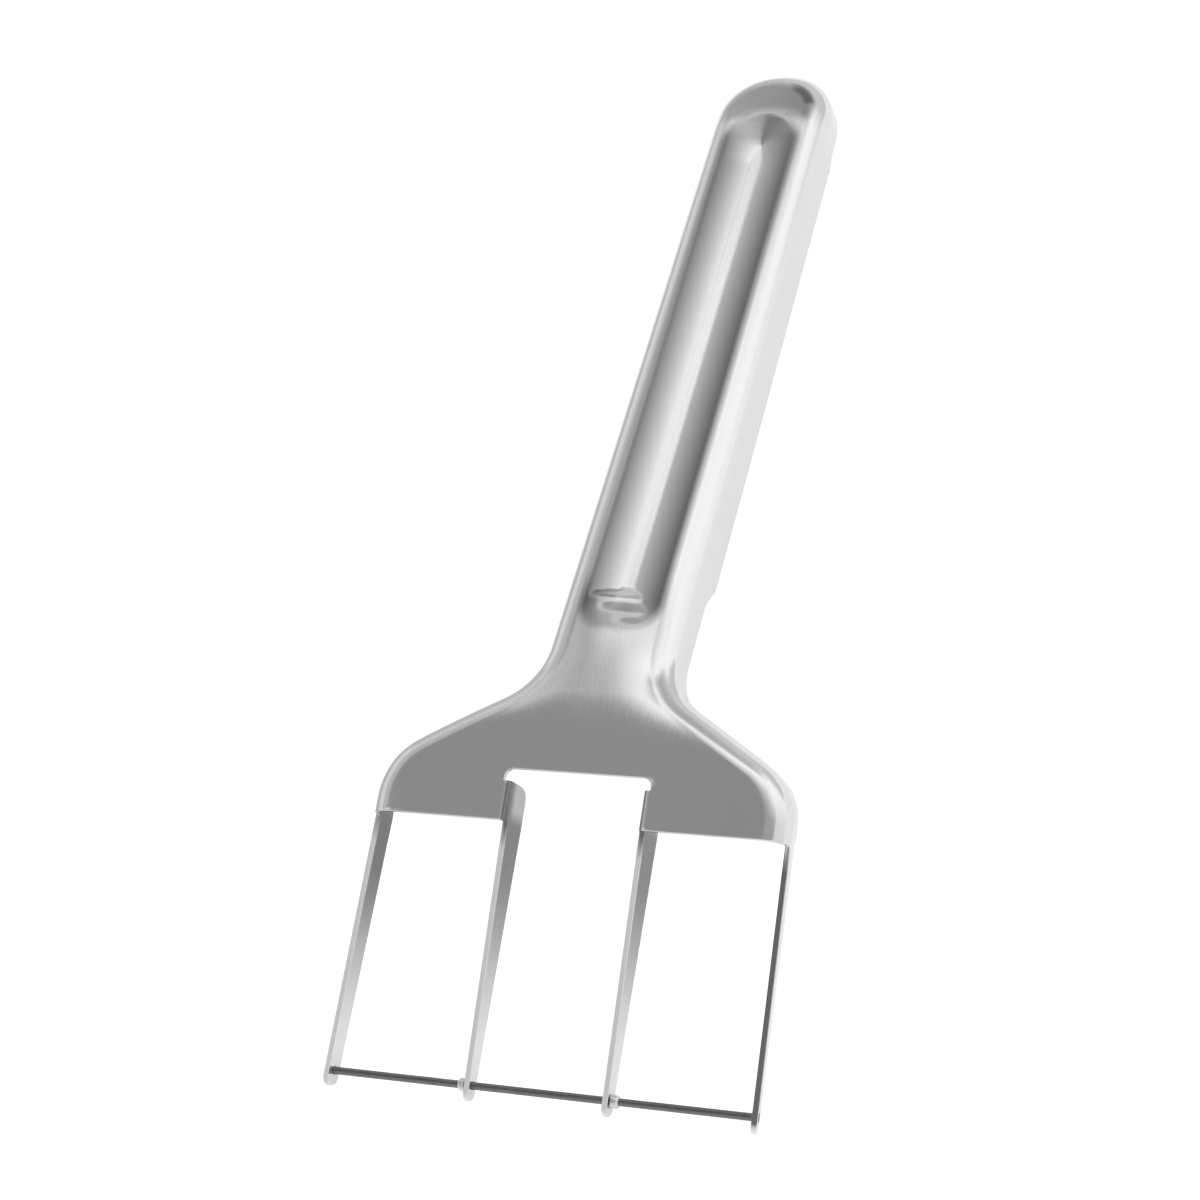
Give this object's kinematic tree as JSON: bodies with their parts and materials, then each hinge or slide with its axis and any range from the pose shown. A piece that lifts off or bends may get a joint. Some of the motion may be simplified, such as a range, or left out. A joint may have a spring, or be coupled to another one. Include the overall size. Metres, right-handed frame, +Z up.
{
  "type": "watermelon slicer",
  "caption": "Pressed stainless steel watermelon slicer: a fork of upright blades joined at their tips by a cutting rod, on a grooved hollow grip.",
  "frame": {"origin": "on the table under the middle of the tool as it lies on its tine tips and its grip", "axes": "+X across the fork, +Y from the tines to the end of the grip, +Z up from the table"},
  "size_m": [0.0946, 0.2516, 0.0236],
  "materials": {
    "stainless_sheet": "satin stainless steel with fine grain lines",
    "rod_steel": "drawn steel rod, darker than the sheet",
    "weld_steel": "smooth bright weld metal"
  },
  "bodies": {
    "root": {"pressed_body": "stainless_sheet", "cutting_rod": "rod_steel", "rod_weld_right": "weld_steel", "rod_weld_left": "weld_steel"}
  },
  "joints": []
}
